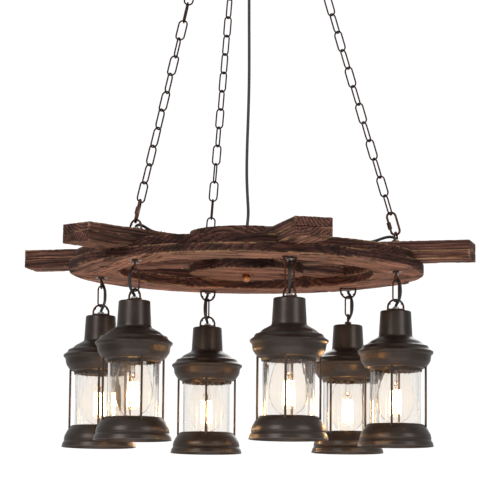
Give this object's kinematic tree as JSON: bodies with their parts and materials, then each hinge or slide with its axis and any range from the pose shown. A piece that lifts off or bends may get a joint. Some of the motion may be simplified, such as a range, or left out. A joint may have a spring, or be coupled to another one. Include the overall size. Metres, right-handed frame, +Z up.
{
  "type": "multi arm chandelier",
  "caption": "Ship's-wheel chandelier: a laminated wooden wheel on chains from a ceiling cup, with glass lanterns that swing below its spokes.",
  "frame": {"origin": "centre of the ceiling face of the cup", "axes": "+Z up, +X to the right, -Y towards the front"},
  "size_m": [0.79, 0.787, 1.1297],
  "materials": {
    "zinc": "satin",
    "bronze_paint": "satin",
    "chain_bronze": "satin",
    "copper_bronze": "satin",
    "nickel": "polished",
    "charred_wood": "matte",
    "ball_copper": "gloss",
    "black_rubber": "matte",
    "black_cord": "matte",
    "clear_plastic": "gloss",
    "clear_glass": "gloss",
    "bulb_glass": "gloss"
  },
  "bodies": {
    "frame": {"ceiling_bracket": "zinc", "canopy_cup": "bronze_paint", "canopy_fittings": "bronze_paint", "chain_links": "chain_bronze", "quick_links": "copper_bronze", "wheel_loops": "copper_bronze", "spoke_nipples": "nickel", "ring_lower": "charred_wood", "ring_upper": "charred_wood", "spokes": "charred_wood", "hub_disc": "charred_wood", "hub_cover": "charred_wood", "hub_bolt": "ball_copper", "cord_fittings": "black_rubber", "main_cord": "black_cord", "spoke_leads": "black_cord", "drop_leads": "black_cord", "screws_and_clips": "clear_plastic"},
    "link_1": {"link_1": "copper_bronze"},
    "lantern_1": {"lantern_loop_1": "copper_bronze", "cap_1": "bronze_paint", "lampholder_1": "nickel", "cage_1": "bronze_paint", "glass_1": "clear_glass"},
    "bulb_1": {"bulb_1": "bulb_glass"},
    "link_2": {"link_2": "copper_bronze"},
    "lantern_2": {"lantern_loop_2": "copper_bronze", "cap_2": "bronze_paint", "lampholder_2": "nickel", "cage_2": "bronze_paint", "glass_2": "clear_glass"},
    "bulb_2": {"bulb_2": "bulb_glass"},
    "link_3": {"link_3": "copper_bronze"},
    "lantern_3": {"lantern_loop_3": "copper_bronze", "cap_3": "bronze_paint", "lampholder_3": "nickel", "cage_3": "bronze_paint", "glass_3": "clear_glass"},
    "bulb_3": {"bulb_3": "bulb_glass"},
    "link_4": {"link_4": "copper_bronze"},
    "lantern_4": {"lantern_loop_4": "copper_bronze", "cap_4": "bronze_paint", "lampholder_4": "nickel", "cage_4": "bronze_paint", "glass_4": "clear_glass"},
    "bulb_4": {"bulb_4": "bulb_glass"},
    "link_5": {"link_5": "copper_bronze"},
    "lantern_5": {"lantern_loop_5": "copper_bronze", "cap_5": "bronze_paint", "lampholder_5": "nickel", "cage_5": "bronze_paint", "glass_5": "clear_glass"},
    "bulb_5": {"bulb_5": "bulb_glass"},
    "link_6": {"link_6": "copper_bronze"},
    "lantern_6": {"lantern_loop_6": "copper_bronze", "cap_6": "bronze_paint", "lampholder_6": "nickel", "cage_6": "bronze_paint", "glass_6": "clear_glass"},
    "bulb_6": {"bulb_6": "bulb_glass"}
  },
  "joints": [
    {"name": "link_swing_1", "type": "hinge", "parent": "frame", "child": "link_1", "pos_m": [-0.18611, -0.19005, -0.84767], "axis": [0, 1, 0], "range_deg": [-20, 20], "deforming": ["drop_leads"]},
    {"name": "lantern_swing_1", "type": "hinge", "parent": "link_1", "child": "lantern_1", "pos_m": [-0.18611, -0.19005, -0.88108], "axis": [-1, 0, 0], "range_deg": [-20, 20]},
    {"name": "bulb_turn_1", "type": "hinge", "parent": "lantern_1", "child": "bulb_1", "pos_m": [-0.18611, -0.19005, -0.97718], "axis": [0, 0, -1], "range_deg": [0, 1080]},
    {"name": "link_swing_2", "type": "hinge", "parent": "frame", "child": "link_2", "pos_m": [0.07153, -0.2562, -0.84767], "axis": [0.7071, 0.7071, 0], "range_deg": [-20, 20]},
    {"name": "lantern_swing_2", "type": "hinge", "parent": "link_2", "child": "lantern_2", "pos_m": [0.07153, -0.2562, -0.88108], "axis": [1, 0, 0], "range_deg": [-20, 20]},
    {"name": "bulb_turn_2", "type": "hinge", "parent": "lantern_2", "child": "bulb_2", "pos_m": [0.07153, -0.2562, -0.97718], "axis": [0, 0, -1], "range_deg": [0, 1080]},
    {"name": "link_swing_3", "type": "hinge", "parent": "frame", "child": "link_3", "pos_m": [0.25764, -0.06615, -0.84767], "axis": [0, -1, 0], "range_deg": [-20, 20]},
    {"name": "lantern_swing_3", "type": "hinge", "parent": "link_3", "child": "lantern_3", "pos_m": [0.25764, -0.06615, -0.88108], "axis": [-0.7071, -0.7071, 0], "range_deg": [-20, 20]},
    {"name": "bulb_turn_3", "type": "hinge", "parent": "lantern_3", "child": "bulb_3", "pos_m": [0.25764, -0.06615, -0.97718], "axis": [0, 0, -1], "range_deg": [0, 1080]},
    {"name": "link_swing_4", "type": "hinge", "parent": "frame", "child": "link_4", "pos_m": [0.18611, 0.19005, -0.84767], "axis": [-1, 0, 0], "range_deg": [-20, 20]},
    {"name": "lantern_swing_4", "type": "hinge", "parent": "link_4", "child": "lantern_4", "pos_m": [0.18611, 0.19005, -0.88108], "axis": [-0.7071, -0.7071, 0], "range_deg": [-20, 20]},
    {"name": "bulb_turn_4", "type": "hinge", "parent": "lantern_4", "child": "bulb_4", "pos_m": [0.18611, 0.19005, -0.97718], "axis": [0, 0, -1], "range_deg": [0, 1080]},
    {"name": "link_swing_5", "type": "hinge", "parent": "frame", "child": "link_5", "pos_m": [-0.07153, 0.2562, -0.84767], "axis": [0.9397, 0.342, 0], "range_deg": [-20, 20]},
    {"name": "lantern_swing_5", "type": "hinge", "parent": "link_5", "child": "lantern_5", "pos_m": [-0.07153, 0.2562, -0.88108], "axis": [0.309, -0.9511, 0], "range_deg": [-20, 20]},
    {"name": "bulb_turn_5", "type": "hinge", "parent": "lantern_5", "child": "bulb_5", "pos_m": [-0.07153, 0.2562, -0.97718], "axis": [0, 0, -1], "range_deg": [0, 1080]},
    {"name": "link_swing_6", "type": "hinge", "parent": "frame", "child": "link_6", "pos_m": [-0.25764, 0.06615, -0.84767], "axis": [0, -1, 0], "range_deg": [-20, 20]},
    {"name": "lantern_swing_6", "type": "hinge", "parent": "link_6", "child": "lantern_6", "pos_m": [-0.25764, 0.06615, -0.88108], "axis": [-0.7071, -0.7071, 0], "range_deg": [-20, 20]},
    {"name": "bulb_turn_6", "type": "hinge", "parent": "lantern_6", "child": "bulb_6", "pos_m": [-0.25764, 0.06615, -0.97718], "axis": [0, 0, -1], "range_deg": [0, 1080]}
  ]
}
